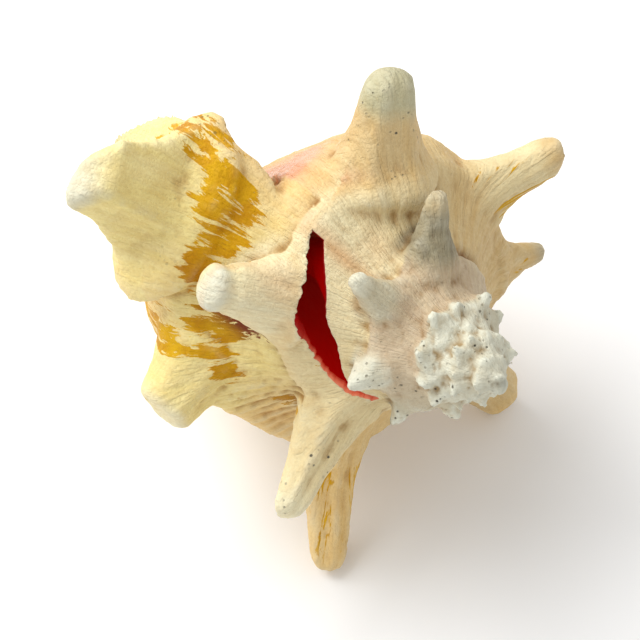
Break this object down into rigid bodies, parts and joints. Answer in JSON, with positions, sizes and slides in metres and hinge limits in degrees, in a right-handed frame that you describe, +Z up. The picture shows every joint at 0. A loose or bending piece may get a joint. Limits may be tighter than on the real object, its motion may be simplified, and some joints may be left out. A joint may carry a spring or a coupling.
{
  "type": "spiny queen conch shell",
  "caption": "Large spiny sea snail shell with a knobbed spire, long blunt shoulder spines, a slit behind the spire and a pink mouth.",
  "frame": {"origin": "under the middle of the bounding box, on the surface that the shell lies on", "axes": "+Z up as the shell lies on its back on two spines and the canal; -Y is the side that the spire and the slit face"},
  "size_m": [0.1166, 0.145, 0.1205],
  "materials": {
    "shell": "chalky cream calcium carbonate with ochre stains, a worn white spire and a glossy pink inside"
  },
  "bodies": {
    "root": {"shell": "shell"}
  },
  "joints": []
}
